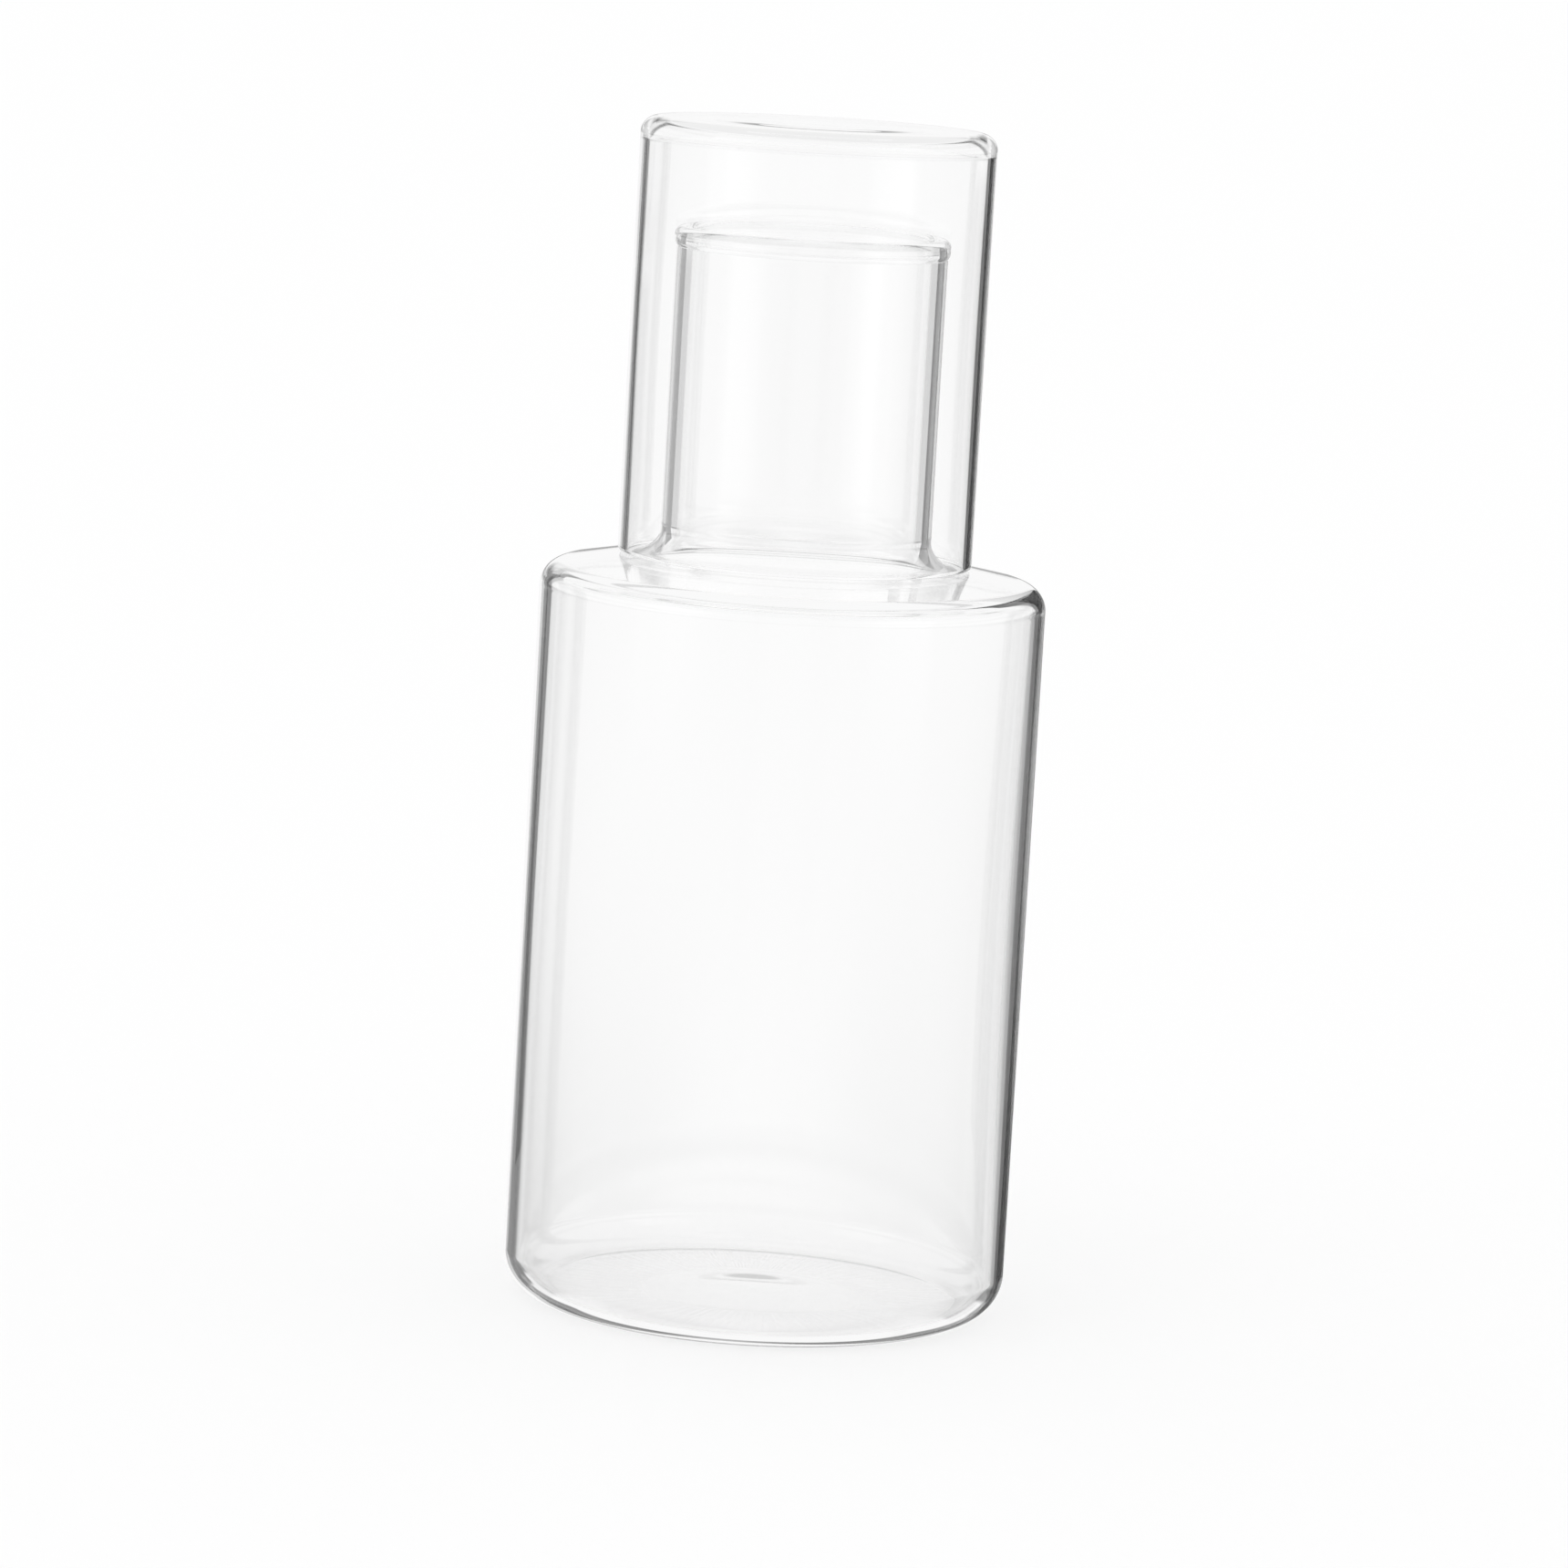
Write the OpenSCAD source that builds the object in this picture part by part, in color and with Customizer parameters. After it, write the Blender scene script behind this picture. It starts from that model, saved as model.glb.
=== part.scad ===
// Bedside water carafe with a tumbler that stands upside down over its neck.
// Each is one piece of clear borosilicate glass, turned about the Z axis.
// The foot stands on z = 0 and all lengths are in millimetres.

/* [Body] */
// Outer diameter of the body
body_d = 100; // [84:1:130]
// Height of the straight wall, from the foot to where the shoulder starts to round over
body_h = 142; // [100:1:180]
// Thickness of the body's wall and shoulder
body_wall = 2.5; // [1.5:0.1:3.5]
// Rounding between the wall and the foot
heel_r = 8.7; // [5:0.1:14]
// Least rounding between the wall and the floor inside
heel_in_r = 6.6; // [4:0.1:12]
// Thickness of the floor
floor_t = 2.2; // [1.6:0.1:6]
// Width of the flat ring that the carafe stands on
foot_ring_w = 19.3; // [8:0.1:24]
// Height of the shallow hollow pushed up under the floor
foot_hollow_h = 1; // [0.4:0.1:2]

/* [Shoulder] */
// Rounding between the wall and the shoulder
shoulder_r = 5; // [4:0.5:7]
// Rise of the shoulder towards the neck, in degrees
shoulder_slope = 11; // [4:1:20]

/* [Neck] */
// Outer diameter of the neck
neck_d = 53.5; // [40:0.5:60]
// Thickness of the neck's wall
neck_wall = 3.2; // [2:0.1:4]
// Height of the mouth above the body's straight wall
neck_h = 72; // [40:1:90]
// Hollow rounding where the neck flares into the shoulder
neck_root_r = 5; // [2:0.5:6]
// How far the melted lip stands proud of the neck
lip_proud = 0.4; // [0.2:0.1:1.2]
// Height of the upright band between the lip's rounded edges
lip_band_h = 0.9; // [0.5:0.1:4]

/* [Tumbler] */
// Thickness of the tumbler's wall
tumbler_wall = 1.8; // [1.4:0.1:3]
// Thickness of the tumbler's closed end
end_t = 2; // [1.6:0.1:5]
// Rounding outside the closed end
end_r = 3.4; // [3.2:0.1:8]
// Least rounding inside the closed end
end_in_r = 2.4; // [1:0.1:6]
// Width of the flat ring round the closed end
end_ring_w = 5.6; // [3:0.1:12]
// Depth of the shallow hollow in the closed end
end_hollow_h = 0.6; // [0.2:0.1:1.5]

/* [Fit of the tumbler on the carafe] */
// Room round the flared root of the neck, inside the tumbler's rim
rim_room = 1.45; // [0.5:0.05:4]
// Gap between the tumbler's rim and the shoulder
rim_gap = 0.25; // [0.1:0.05:0.5]
// Room between the carafe's mouth and the tumbler's closed end
mouth_room = 19; // [5:0.1:40]

/* [Hidden] */
$fn = 192;

// How far a cut runs past the surface that it opens
overrun = 1;
// How far the roundings of the sloping shoulder run into its face, so that they meet it
// in a clean line
join = 0.002;

body_or = body_d / 2;
body_ir = body_or - body_wall;
neck_or = neck_d / 2;
neck_ir = neck_or - neck_wall;

// A rounding inside a corner is never tighter than keeps the wall's thickness there
function inner_round(least, outer, wall) = max(least, outer - wall);

// The shoulder is a cone between two roundings. This is the height of its outer face.
function shoulder_z(r) = body_h + shoulder_r * cos(shoulder_slope)
    + (body_or - shoulder_r * (1 - sin(shoulder_slope)) - r) * tan(shoulder_slope);

// Radius of the circle whose cap has this radius and this height
function cap_circle_r(r, h) = (r * r + h * h) / (2 * h);

mouth_z = body_h + neck_h;
lip_t = neck_wall + lip_proud;
lip_r = lip_t / 2;

foot_hollow_r = body_or - heel_r - foot_ring_w;
foot_circle_r = cap_circle_r(foot_hollow_r, foot_hollow_h);

tumbler_ir = neck_or + neck_root_r + rim_room;
tumbler_or = tumbler_ir + tumbler_wall;
rim_r = tumbler_wall / 2;
rim_centre_z = shoulder_z(tumbler_ir + rim_r) + (rim_r + rim_gap) / cos(shoulder_slope);
end_z = mouth_z + mouth_room;
tumbler_top_z = end_z + end_t;
end_hollow_r = tumbler_or - end_r - end_ring_w;
end_circle_r = cap_circle_r(end_hollow_r, end_hollow_h);

// Half section of a bottle, filled to the axis: a wall with a round heel and a round
// shoulder, the shoulder's cone, and a neck that flares into it. under is how far its
// cone lies under the outer one. It serves as the outside and as the space inside.
module bottle_section(r, heel, foot_z, corner, under, neck, root, top_z) {
    cone_end_r = r - corner * (1 - sin(shoulder_slope));
    cone_end_z = shoulder_z(cone_end_r) - under - join;
    root_centre_r = neck + root;
    root_centre_z = shoulder_z(root_centre_r) - under + root / cos(shoulder_slope) - 2 * join;
    cone_start_z = shoulder_z(neck) - under - join;

    translate([0, foot_z])
        square([r - heel, body_h - foot_z]);
    translate([0, foot_z + heel])
        square([r, body_h - foot_z - heel]);
    translate([r - heel, foot_z + heel])
        circle(heel);
    translate([r - corner, body_h])
        circle(corner);
    polygon([
        [0, foot_z + heel],
        [r - corner, foot_z + heel],
        [r - corner, body_h],
        [cone_end_r, cone_end_z],
        [neck, cone_start_z],
        [0, cone_start_z]
    ]);
    difference() {
        polygon([
            [0, body_h],
            [
                root_centre_r - (root + corner) * sin(shoulder_slope),
                root_centre_z - (root + corner) * cos(shoulder_slope)
            ],
            [root_centre_r, root_centre_z],
            [0, root_centre_z]
        ]);
        translate([root_centre_r, root_centre_z])
            circle(root);
    }
    translate([0, foot_z + heel])
        square([neck, top_z - foot_z - heel]);
}

// The melted lip: the neck's wall thickened outwards, with round edges
module lip_section() {
    for (z = [mouth_z - lip_r, mouth_z - lip_r - lip_band_h])
        translate([neck_ir + lip_r, z])
            circle(lip_r);
    translate([neck_ir, mouth_z - lip_r - lip_band_h])
        square([lip_t, lip_band_h]);
}

// The carafe: one vessel with its floor, wall, shoulder, neck and lip
module carafe() {
    color([0.88, 0.91, 0.92], 0.35)
        rotate_extrude() {
            difference() {
                bottle_section(
                    r = body_or,
                    heel = heel_r,
                    foot_z = 0,
                    corner = shoulder_r,
                    under = 0,
                    neck = neck_or,
                    root = neck_root_r,
                    top_z = mouth_z - lip_r
                );
                difference() {
                    bottle_section(
                        r = body_ir,
                        heel = inner_round(heel_in_r, heel_r, body_wall),
                        foot_z = floor_t,
                        corner = shoulder_r - body_wall,
                        under = body_wall / cos(shoulder_slope),
                        neck = neck_ir,
                        root = neck_root_r + neck_wall,
                        top_z = mouth_z + overrun
                    );
                    // The floor crowns over the hollow, so that it keeps its thickness
                    translate([0, foot_hollow_h - foot_circle_r])
                        circle(foot_circle_r + floor_t, $fn = 6 * $fn);
                }
                translate([0, foot_hollow_h - foot_circle_r])
                    circle(foot_circle_r, $fn = 6 * $fn);
            }
            lip_section();
        }
}

// Half section of a tumbler standing on its rim, filled to the axis
module tumbler_section(r, corner, bottom_z, top_z) {
    translate([0, bottom_z])
        square([r, top_z - corner - bottom_z]);
    translate([0, top_z - 2 * corner])
        square([r - corner, 2 * corner]);
    translate([r - corner, top_z - corner])
        circle(corner);
}

// The tumbler: upside down, its round rim on the shoulder and its closed end on top
module tumbler() {
    color([0.9, 0.93, 0.94], 0.35)
        rotate_extrude() {
            difference() {
                tumbler_section(
                    r = tumbler_or,
                    corner = end_r,
                    bottom_z = rim_centre_z,
                    top_z = tumbler_top_z
                );
                difference() {
                    tumbler_section(
                        r = tumbler_ir,
                        corner = inner_round(end_in_r, end_r, tumbler_wall),
                        bottom_z = rim_centre_z - overrun,
                        top_z = end_z
                    );
                    // The end sags under its hollow, so that it keeps its thickness
                    translate([0, tumbler_top_z - end_hollow_h + end_circle_r])
                        circle(end_circle_r + end_t, $fn = 6 * $fn);
                }
                translate([0, tumbler_top_z - end_hollow_h + end_circle_r])
                    circle(end_circle_r, $fn = 6 * $fn);
            }
            translate([tumbler_ir + rim_r, rim_centre_z])
                circle(rim_r);
        }
}

carafe();
tumbler();
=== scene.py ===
from math import atan2, cos, degrees, pi, radians, sin, sqrt

import bpy
from mathutils import Matrix, Vector


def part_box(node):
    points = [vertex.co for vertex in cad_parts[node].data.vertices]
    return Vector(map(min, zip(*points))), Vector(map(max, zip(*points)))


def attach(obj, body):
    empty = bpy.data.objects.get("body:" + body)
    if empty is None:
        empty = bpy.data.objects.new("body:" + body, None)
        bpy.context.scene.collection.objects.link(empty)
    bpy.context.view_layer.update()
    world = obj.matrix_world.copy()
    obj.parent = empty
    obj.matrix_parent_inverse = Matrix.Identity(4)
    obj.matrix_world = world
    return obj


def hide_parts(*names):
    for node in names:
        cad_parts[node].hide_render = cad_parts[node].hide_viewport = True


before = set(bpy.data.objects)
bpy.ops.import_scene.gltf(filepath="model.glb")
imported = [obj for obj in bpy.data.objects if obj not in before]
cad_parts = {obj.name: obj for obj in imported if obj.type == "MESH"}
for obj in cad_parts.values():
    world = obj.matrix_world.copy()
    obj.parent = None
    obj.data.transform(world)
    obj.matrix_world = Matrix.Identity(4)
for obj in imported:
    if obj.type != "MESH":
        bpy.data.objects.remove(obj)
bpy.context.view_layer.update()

# CAMERA
# The photograph looks slightly down on the glass from a distance, with the glass leaning
# a few degrees to the right in the picture.
mm = 0.001
camera_reach = 1389 * mm
camera_height = 303.5 * mm
aim_height = 104.5 * mm
aim_side = 0.5 * mm
camera_roll = radians(3.37)
clip_near = 0.05
clip_far = 100
# Blender takes the lens and the sensor in millimetres
focal_length = 162.6
sensor_width = 36

eye = Vector((0, -camera_reach, camera_height))
aim = Vector((aim_side, 0, aim_height))
bpy.ops.object.select_all(action="DESELECT")
bpy.ops.object.camera_add(location=eye)
camera = bpy.context.object
camera.name = "camera"
turn = (aim - eye).to_track_quat("-Z", "Y").to_matrix() @ Matrix.Rotation(camera_roll, 3, "Z")
camera.rotation_euler = turn.to_euler()
camera.data.lens = focal_length
camera.data.sensor_width = sensor_width
camera.data.clip_start = clip_near
camera.data.clip_end = clip_far
bpy.context.scene.camera = camera

# CARAFE
# One vessel of clear borosilicate glass, drawn from tube: a straight body with a round
# heel, a low shoulder, and a straight neck whose lip was melted round in a flame. The
# floor is pushed up into a shallow hollow, so that it stands on a ring.
_, carafe_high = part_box("carafe")
body_r = carafe_high.x
mouth_z = carafe_high.z
body_wall = 2.5 * mm
heel_r = 8.7 * mm
heel_in_r = 6.6 * mm
floor_t = 2.2 * mm
foot_ring_w = 19.3 * mm
hollow_r = body_r - heel_r - foot_ring_w
hollow_h = 1 * mm
shoulder_r = 5 * mm
slope = radians(11)
neck_h = 72 * mm
body_top = mouth_z - neck_h
neck_r = 26.75 * mm
neck_wall = 3.2 * mm
root_r = 5 * mm
lip_proud = 0.4 * mm
lip_band = 0.9 * mm

# The wall is thickest at half height, and there its bore runs off centre
wall_bulge = 0.35 * mm
bore_shift = -0.45 * mm
bore_reach = 85 * mm

# How many faces go round each piece, how far apart the rings are on a straight wall, how
# close its end rings are to a rounding, how many faces follow a rounding, and how close
# two points are that count as one
sides = 240
ring_step = 8 * mm
edge_step = 0.2 * mm
fine = 32
coarse = 14
weld = 0.002 * mm


def arc(centre_r, centre_z, radius, start, end, steps):
    """Points of a round stretch of an outline, from one angle to another, in degrees."""
    turns = [radians(start + (end - start) * i / steps) for i in range(steps + 1)]
    return [(centre_r + radius * cos(t), centre_z + radius * sin(t)) for t in turns]


def straight(start, end):
    """Points of a straight stretch without its ends: evenly spaced, and one close to each end.

    The close ones keep the shading of the straight wall clear of the roundings that it meets.
    """
    r0, z0 = start
    r1, z1 = end
    length = sqrt((r1 - r0) ** 2 + (z1 - z0) ** 2)
    shortest = 4 * edge_step
    if length < shortest:
        return []
    count = max(1, round(length / ring_step))
    shares = [edge_step / length, *(i / count for i in range(1, count)), 1 - edge_step / length]
    return [(r0 + (r1 - r0) * s, z0 + (z1 - z0) * s) for s in shares]


def joined(*stretches):
    """One outline: the stretches end to end, with straight runs between them."""
    outline = list(stretches[0])
    for stretch in stretches[1:]:
        outline += straight(outline[-1], stretch[0]) + list(stretch)
    return outline


def hollow(radius, height, low_z, steps):
    """A shallow hollow that eases out into the flat round it, from the axis outwards."""
    spots = [radius * i / steps for i in range(steps + 1)]
    return [(r, low_z + height * (1 + cos(pi * r / radius)) / 2) for r in spots]


def turned(name, outline):
    """Turns an outline, drawn by extruding one vertex along it, about the Z axis."""
    bpy.ops.object.select_all(action="DESELECT")
    bpy.ops.mesh.primitive_plane_add(size=mm, location=(0, 0, 0))
    piece = bpy.context.object
    piece.name = piece.data.name = name
    bpy.ops.object.mode_set(mode="EDIT")
    bpy.ops.mesh.select_all(action="SELECT")
    bpy.ops.mesh.merge(type="CENTER")
    bpy.ops.transform.translate(value=(outline[0][0], 0, outline[0][1]))
    for (r0, z0), (r1, z1) in zip(outline, outline[1:]):
        bpy.ops.mesh.extrude_region_move(
            TRANSFORM_OT_translate={"value": (r1 - r0, 0, z1 - z0)}
        )
    bpy.ops.mesh.select_all(action="SELECT")
    bpy.ops.mesh.spin(steps=sides, angle=2 * pi, center=(0, 0, 0), axis=(0, 0, 1))
    bpy.ops.mesh.select_all(action="SELECT")
    bpy.ops.mesh.remove_doubles(threshold=weld)
    bpy.ops.mesh.normals_make_consistent(inside=False)
    bpy.ops.mesh.select_all(action="DESELECT")
    bpy.ops.object.mode_set(mode="OBJECT")
    bpy.ops.object.shade_smooth()
    return piece


def shift_bore(piece, ring_z, bore_r, shift, reach):
    """Moves the inner wall sideways, most at one height, as a hand-worked bore runs off centre."""
    inner_r = bore_r + mm / 2
    for vertex in piece.data.vertices:
        x, y, z = vertex.co
        vertex.select = abs(z - ring_z) < ring_step / 2 and sqrt(x * x + y * y) < inner_r
    bpy.ops.object.mode_set(mode="EDIT")
    bpy.ops.mesh.select_mode(type="VERT")
    bpy.ops.transform.translate(
        value=(shift, 0, 0),
        use_proportional_edit=True,
        use_proportional_connected=True,
        proportional_edit_falloff="SMOOTH",
        proportional_size=reach,
    )
    bpy.ops.object.mode_set(mode="OBJECT")


def neck_root(neck, root, under):
    """Centre of the hollow rounding between a neck and the shoulder's face, lowered by under."""
    top_r = body_r - shoulder_r * (1 - sin(slope))
    top_z = body_top + shoulder_r * cos(slope)
    r = neck + root
    return r, top_z + (top_r - r) * sin(slope) / cos(slope) - under + root / cos(slope)


def carafe_outline():
    """From the middle of the foot, up the outside, over the lip and down to the floor."""
    lip_r = (neck_wall + lip_proud) / 2
    lip_centre = neck_r - neck_wall + lip_r
    lip_start = -degrees(atan2(sqrt(lip_r**2 - (neck_r - lip_centre) ** 2), neck_r - lip_centre))
    lip_low = mouth_z - lip_r - lip_band
    root_out = neck_root(neck_r, root_r, 0)
    inner_root_r = root_r + neck_wall
    root_in = neck_root(neck_r - neck_wall, inner_root_r, body_wall / cos(slope))
    lean = degrees(slope)
    crown = hollow(hollow_r, hollow_h, floor_t, coarse)
    low = floor_t + heel_in_r
    high = body_top
    shares = [i * ring_step / (high - low) for i in range(1, int((high - low) / ring_step))]
    thicker = [
        (body_r - body_wall - wall_bulge * sin(pi * s), high + (low - high) * s) for s in shares
    ]
    return joined(
        hollow(hollow_r, hollow_h, 0, coarse),
        arc(body_r - heel_r, heel_r, heel_r, -90, 0, fine),
        arc(body_r - shoulder_r, body_top, shoulder_r, 0, 90 - lean, fine),
        arc(*root_out, root_r, 270 - lean, 180, coarse),
        arc(lip_centre, lip_low, lip_r, lip_start, 0, coarse),
        arc(lip_centre, mouth_z - lip_r, lip_r, 0, 180, fine),
        arc(*root_in, inner_root_r, 180, 270 - lean, coarse),
        arc(body_r - shoulder_r, body_top, shoulder_r - body_wall, 90 - lean, 0, fine),
        thicker,
        arc(body_r - body_wall - heel_in_r, floor_t + heel_in_r, heel_in_r, 0, -90, fine),
        crown[::-1],
    )


carafe = turned("carafe_glass", carafe_outline())
shift_bore(carafe, body_top / 2, body_r - body_wall, bore_shift, bore_reach)


class Wire:
    """A socket of a shader tree. Arithmetic on it adds Math nodes."""

    def __init__(self, tree, socket=None):
        self.tree = tree
        self.socket = socket

    def node(self, kind, settings=None, sockets=None, out=0):
        """A new node: its settings first, then a value or a wire for each socket."""
        node = self.tree.nodes.new(kind)
        for name, value in (settings or {}).items():
            setattr(node, name, value)
        for name, value in (sockets or {}).items():
            if isinstance(value, Wire):
                self.tree.links.new(value.socket, node.inputs[name])
            else:
                node.inputs[name].default_value = value
        return Wire(self.tree, node.outputs[out] if node.outputs else None)

    def math(self, operation, first, second):
        """A Math node on two values."""
        return self.node("ShaderNodeMath", {"operation": operation}, {0: first, 1: second})

    def __add__(self, other):
        return self.math("ADD", self, other)

    __radd__ = __add__

    def __sub__(self, other):
        return self.math("SUBTRACT", self, other)

    def __rsub__(self, other):
        return self.math("SUBTRACT", other, self)

    def __mul__(self, other):
        return self.math("MULTIPLY", self, other)

    __rmul__ = __mul__

    def ramp(self, low, high, start, end):
        """Runs smoothly from start to end as this value goes from low to high."""
        return self.node(
            "ShaderNodeMapRange",
            {"interpolation_type": "SMOOTHSTEP"},
            {"Value": self, "From Min": low, "From Max": high, "To Min": start, "To Max": end},
        )

    def within(self, low, high, soft):
        """1 where this value lies between low and high, with soft edges."""
        rise = self.ramp(low - soft, low + soft, 0, 1)
        return rise * self.ramp(high - soft, high + soft, 1, 0)

    def mix(self, other, share):
        """This value where share is 0 and the other where it is 1."""
        return self + share * (other - self)


# How strongly the glass bends light, and its tone where light goes straight through
glass_index = 1.47
face_on_tone = 0.995
edge_on_tone = 0.88
facing_blend = 0.25
# Smudges: their scale, the noise from which haze starts and is full, and its roughness
smudge_scale = 45.0
haze_start = 0.58
haze_full = 0.78
haze_roughness = 0.02
# Draw lines: their scale, how much it is stretched upwards, and their relief
line_scale = 160.0
line_stretch = 0.06
line_strength = 0.04
line_depth = 0.02 * mm
line_seed_step = 5
# Bounces are counted in whole numbers, so a limit lies halfway between two of them
halfway = 0.5


def glass(name, smudge_seed, most_bounces, caught_tone):
    """Clear borosilicate glass: fire-polished, with faint draw lines and a few smudges.

    Light caught inside the wall for more than most_bounces is let out, at caught_tone.
    """
    material = bpy.data.materials.new(name)
    material.use_nodes = True
    tree = material.node_tree
    tree.nodes.clear()
    pen = Wire(tree)
    place = pen.node("ShaderNodeTexCoord", out="Object")
    smudges = pen.node(
        "ShaderNodeTexNoise",
        {"noise_dimensions": "4D"},
        {"Vector": place, "W": smudge_seed, "Scale": smudge_scale, "Detail": 3.0, "Roughness": 0.6},
    )
    haze = pen.node(
        "ShaderNodeMapRange",
        {"interpolation_type": "SMOOTHSTEP"},
        {
            "Value": smudges,
            "From Min": haze_start,
            "From Max": haze_full,
            "To Max": haze_roughness,
        },
    )
    stretched = pen.node("ShaderNodeMapping", {}, {"Vector": place, "Scale": (1, 1, line_stretch)})
    draw_lines = pen.node(
        "ShaderNodeTexNoise",
        {"noise_dimensions": "4D"},
        {
            "Vector": stretched,
            "W": smudge_seed + line_seed_step,
            "Scale": line_scale,
            "Detail": 2.0,
        },
    )
    ripple = pen.node(
        "ShaderNodeBump",
        {},
        {"Strength": line_strength, "Distance": line_depth, "Height": draw_lines},
    )
    solid = pen.node(
        "ShaderNodeBsdfPrincipled",
        {},
        {
            "Base Color": (1, 1, 1, 1),
            "Roughness": haze,
            "IOR": glass_index,
            "Transmission Weight": 1.0,
            "Normal": ripple,
        },
    )
    face_on, edge_on, let_out = (
        pen.node("ShaderNodeBsdfTransparent", {}, {"Color": (tone, tone, tone, 1)})
        for tone in (face_on_tone, edge_on_tone, caught_tone)
    )
    tilt = pen.node("ShaderNodeLayerWeight", {}, {"Blend": facing_blend}, out="Facing")
    clear = pen.node("ShaderNodeMixShader", {}, {0: tilt, 1: face_on, 2: edge_on})
    shadow = pen.node("ShaderNodeLightPath", out="Is Shadow Ray")
    bounced = pen.node("ShaderNodeLightPath", out="Is Diffuse Ray")
    lets_through = pen.math("MAXIMUM", shadow, bounced)
    bounces = pen.node("ShaderNodeLightPath", out="Glossy Depth")
    caught = pen.math("GREATER_THAN", bounces, most_bounces + halfway)
    body = pen.node("ShaderNodeMixShader", {}, {0: caught, 1: solid, 2: let_out})
    both = pen.node("ShaderNodeMixShader", {}, {0: lets_through, 1: body, 2: clear})
    pen.node("ShaderNodeOutputMaterial", {}, {"Surface": both})
    return material


carafe.data.materials.append(
    glass("carafe_borosilicate", smudge_seed=1.0, most_bounces=4, caught_tone=1)
)
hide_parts("carafe")
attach(carafe, "carafe")

# TUMBLER
# A straight drinking glass of the same tube, which stands upside down over the neck. Its
# rim was melted round and rests on the shoulder; its closed end is on top.
tumbler_low, tumbler_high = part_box("tumbler")
tumbler_r = tumbler_high.x
tumbler_wall = 1.8 * mm
end_t = 2 * mm
end_r = 3.4 * mm
end_in_r = 2.4 * mm
end_ring_w = 5.6 * mm
end_hollow_r = tumbler_r - end_r - end_ring_w
end_hollow_h = 0.6 * mm
tumbler_middle = (tumbler_low.z + tumbler_high.z) / 2
tumbler_bore_shift = -0.2 * mm
tumbler_bore_reach = 40 * mm


def tumbler_outline():
    """From the middle of the closed end, down the outside, round the rim and up inside."""
    rim_r = tumbler_wall / 2
    rim_z = tumbler_low.z + rim_r
    end_z = tumbler_high.z - end_t
    inner_r = tumbler_r - tumbler_wall
    return joined(
        hollow(end_hollow_r, -end_hollow_h, tumbler_high.z, coarse),
        arc(tumbler_r - end_r, tumbler_high.z - end_r, end_r, 90, 0, fine),
        arc(tumbler_r - rim_r, rim_z, rim_r, 0, -180, fine),
        arc(inner_r - end_in_r, end_z - end_in_r, end_in_r, 0, 90, fine),
        hollow(end_hollow_r, -end_hollow_h, end_z, coarse)[::-1],
    )


tumbler = turned("tumbler_glass", tumbler_outline())
shift_bore(
    tumbler, tumbler_middle, tumbler_r - tumbler_wall, tumbler_bore_shift, tumbler_bore_reach
)
tumbler.data.materials.append(
    glass("tumbler_borosilicate", smudge_seed=7.0, most_bounces=12, caught_tone=0.9)
)
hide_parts("tumbler")
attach(tumbler, "tumbler")

# STAGE
# A wide sheet of white paper under even studio light. Straight through the glass it shows
# as white as beside it, and what the glass mirrors is the room: pale walls with two tall
# softboxes, dark cards behind the glass that draw its edges, and a dark table's edge below.
floor_size = 60
paper_tone = 0.882
bpy.ops.object.select_all(action="DESELECT")
bpy.ops.mesh.primitive_plane_add(size=floor_size, location=(0, 0, 0))
floor = bpy.context.object
floor.name = floor.data.name = "floor"
paper = bpy.data.materials.new("white_paper")
paper.use_nodes = True
paper.node_tree.nodes.clear()
pen = Wire(paper.node_tree)
matte = pen.node("ShaderNodeBsdfDiffuse", {}, {"Color": (paper_tone, paper_tone, paper_tone, 1)})
gone = pen.node("ShaderNodeBsdfTransparent")
bounces = pen.node("ShaderNodeLightPath", out="Glossy Depth")
mirrored = pen.math("GREATER_THAN", bounces, halfway)
both = pen.node("ShaderNodeMixShader", {}, {0: mirrored, 1: matte, 2: gone})
pen.node("ShaderNodeOutputMaterial", {}, {"Surface": both})
floor.data.materials.append(paper)


def add_card(name, tone, left, right, low, high, behind):
    """A card behind the glass, seen only by light that the glass mirrored one to four times."""
    most_bounces = 4
    material = bpy.data.materials.new(name)
    material.use_nodes = True
    material.node_tree.nodes.clear()
    pen = Wire(material.node_tree)
    shade = pen.node("ShaderNodeEmission", {}, {"Color": (tone, tone, tone, 1)})
    gone = pen.node("ShaderNodeBsdfTransparent")
    bounces = pen.node("ShaderNodeLightPath", out="Glossy Depth")
    mirrored = pen.math("GREATER_THAN", bounces, halfway)
    mirrored = mirrored * pen.math("LESS_THAN", bounces, most_bounces + halfway)
    both = pen.node("ShaderNodeMixShader", {}, {0: mirrored, 1: gone, 2: shade})
    pen.node("ShaderNodeOutputMaterial", {}, {"Surface": both})
    bpy.ops.object.select_all(action="DESELECT")
    bpy.ops.mesh.primitive_plane_add(size=1, location=(0, 0, 0))
    card = bpy.context.object
    card.name = card.data.name = name
    bpy.ops.object.mode_set(mode="EDIT")
    bpy.ops.mesh.select_all(action="SELECT")
    bpy.ops.transform.rotate(value=radians(90), orient_axis="X")
    bpy.ops.transform.resize(value=(right - left, 1, high - low))
    bpy.ops.transform.translate(value=((left + right) / 2, behind, (low + high) / 2))
    bpy.ops.object.mode_set(mode="OBJECT")
    card.data.materials.append(material)


add_card(
    name="card_right",
    tone=0.03,
    left=66 * mm,
    right=125 * mm,
    low=-40 * mm,
    high=250 * mm,
    behind=130 * mm,
)
add_card(
    name="card_left",
    tone=0.13,
    left=-250 * mm,
    right=-158 * mm,
    low=-40 * mm,
    high=270 * mm,
    behind=300 * mm,
)

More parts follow.
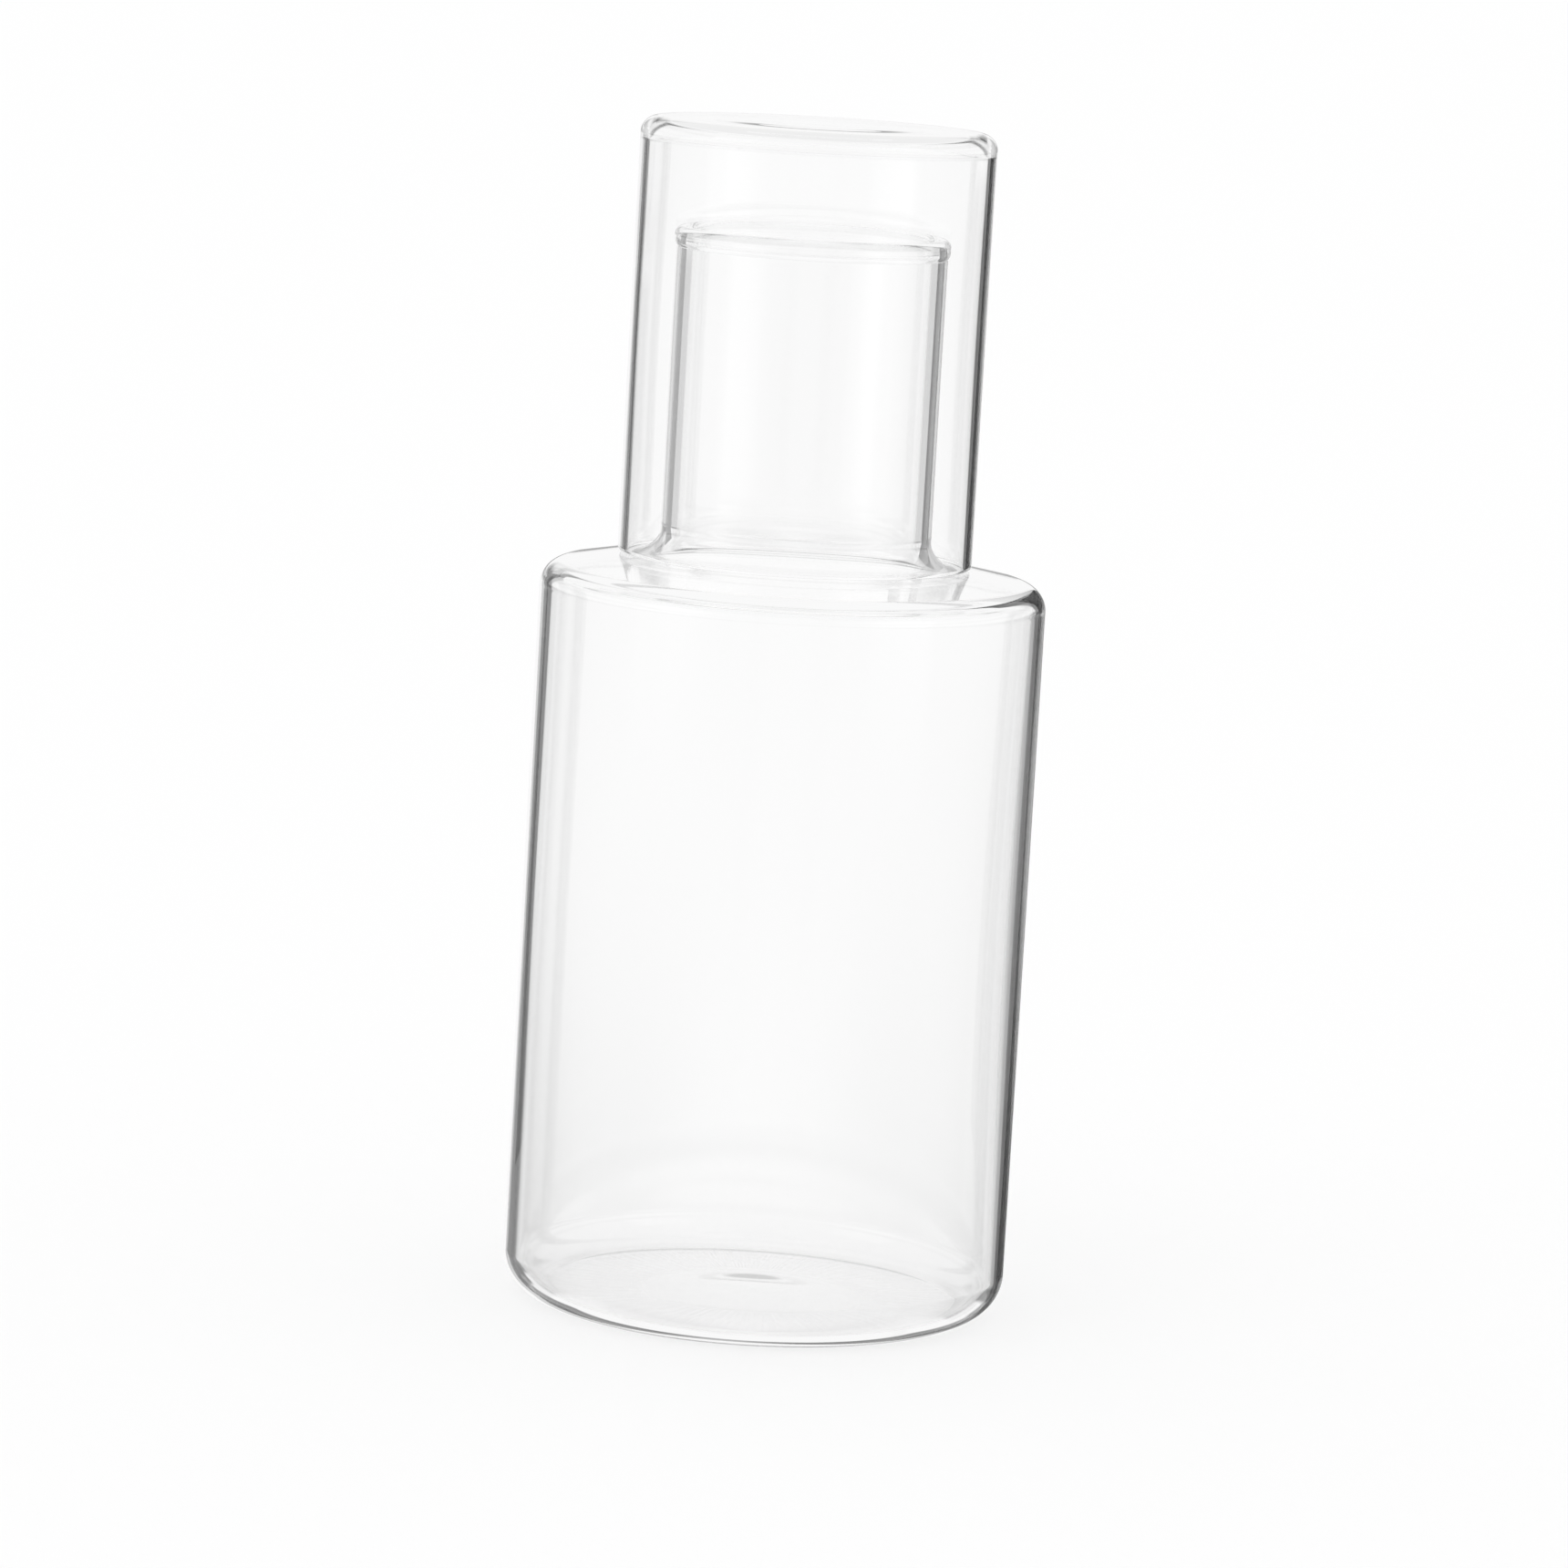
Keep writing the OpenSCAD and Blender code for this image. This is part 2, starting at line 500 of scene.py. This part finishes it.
world = bpy.data.worlds.new("studio")
world.use_nodes = True
world.node_tree.nodes.clear()
bpy.context.scene.world = world
pen = Wire(world.node_tree)
way = pen.node("ShaderNodeTexCoord", out="Generated")
east = pen.node("ShaderNodeSeparateXYZ", {}, {0: way}, out=0)
north = pen.node("ShaderNodeSeparateXYZ", {}, {0: way}, out=1)
height = pen.node("ShaderNodeSeparateXYZ", {}, {0: way}, out=2)
# Degrees off straight behind the glass, positive to the right of the picture, and degrees up
aside = degrees(1) * pen.math("ARCTAN2", east, north)
up = degrees(1) * pen.math("ARCSINE", height, 0)
off_axis = pen.math("ABSOLUTE", aside, 0)
# The room all round: dark below, a pale wall, a white ceiling and two tall softboxes
dark = 0.2
pale = 0.8
softbox_glow = 0.3
room = up.ramp(-13, -8, dark, pale) + up.ramp(-1, 2, 0, 1 - pale)
softboxes = aside.within(-139, -105, 4) + aside.within(114, 145, 4)
room = room + softboxes * up.within(-7, 37, 2) * softbox_glow
# Behind the glass: a white sweep, grey towards its sides below the horizon
white = 0.95
light_grey = 0.65
grey = 0.4
sweep = aside.within(-50, 50, 6)
below = up.ramp(-3.7, -3.2, 1, 0)
room = room.mix(white, sweep)
room = room.mix(light_grey, sweep * below)
room = room.mix(grey, aside.within(-33, 33, 2) * below)
room = room.mix(white, aside.within(-20, 20, 3))
# Before it: the pale side that the photograph is taken from, with a dark band low down
front = off_axis.ramp(110, 170, 0, 1) * (1 - up.within(-36, -12.5, 1.5))
room = room.mix(pale, front)
# The table under the paper: white, dark towards its sides, and with a dark edge behind the
# glass that draws the line round the foot
table_side_tone = 0.25
edge_tone = 0.1
table = aside.within(-90, 90, 10) * up.ramp(-22, -18, 1, 0)
table_sides = off_axis.ramp(24, 30, 0, 1) * up.within(-21, -12.5, 1.5)
table_corners = off_axis.ramp(40, 46, 0, 1) * up.within(-36, -21, 1.5)
room = room.mix(white, table)
room = room.mix(table_side_tone, table_sides)
room = room.mix(grey, table_corners)
edge = aside.within(-30, 24, 2) * up.within(-41, -26, 1.5)
edge_left = aside.within(-36, -17, 2) * up.within(-27, -10, 1.5)
edge_right = aside.within(10, 27, 2) * up.within(-27, -10, 1.5)
edge = pen.math("MAXIMUM", edge, edge_left)
edge = pen.math("MAXIMUM", edge, edge_right)
room = room.mix(edge_tone, edge)
room = room.mix(grey, aside.within(-4, 1, 3) * edge)
# An arch of shade over the sweep, open in the middle, which draws the rounding of the closed
# end. Its centre lies straight on from the camera, which looks down on the end by camera_dip.
camera_dip = 2.8
rise = up + camera_dip
arch = pen.math("SQRT", aside * aside + rise * rise, 0).within(13, 30, 2)
arch = arch * up.ramp(1, 5, 0, 1) * off_axis.ramp(5, 14, 0, 1)
room = room.mix(edge_tone, arch)
# The far edge of the sweep, and the studio's ceiling on both sides of the middle, which draw
# the melted edges
sweep_edge_tone = 0.3
ceiling_tone = 0.75
room = room.mix(sweep_edge_tone, up.within(-2.5, 1.2, 0.8))
room = room.mix(ceiling_tone, up.within(10, 16, 1.5) * off_axis.ramp(5, 12, 0, 1))
# Light that was mirrored more than twice comes from all over the room and shows its mean,
# and light that wasn't mirrored shows the paper behind the glass
most_room_bounces = 2
bounces = pen.node("ShaderNodeLightPath", out="Glossy Depth")
room = room.mix(white, pen.math("GREATER_THAN", bounces, most_room_bounces + halfway))
light = room.mix(1, pen.math("LESS_THAN", bounces, halfway))
colour = pen.node("ShaderNodeCombineColor", {}, {0: light, 1: light, 2: light})
sky = pen.node("ShaderNodeBackground", {}, {"Color": colour})
pen.node("ShaderNodeOutputWorld", {}, {"Surface": sky})

bpy.ops.object.light_add(type="SUN", location=(-1, -1, 2))
key = bpy.context.object
key.name = "key_light"
key.data.energy = 0.5
key.data.angle = radians(35)
key.rotation_euler = (radians(28), radians(-24), 0)
key.visible_glossy = False
key.visible_transmission = False

bounce_limit = 32
see_through_limit = 64
scene = bpy.context.scene
scene.view_settings.view_transform = "Standard"
scene.cycles.max_bounces = bounce_limit
scene.cycles.transmission_bounces = bounce_limit
scene.cycles.glossy_bounces = bounce_limit
scene.cycles.transparent_max_bounces = see_through_limit
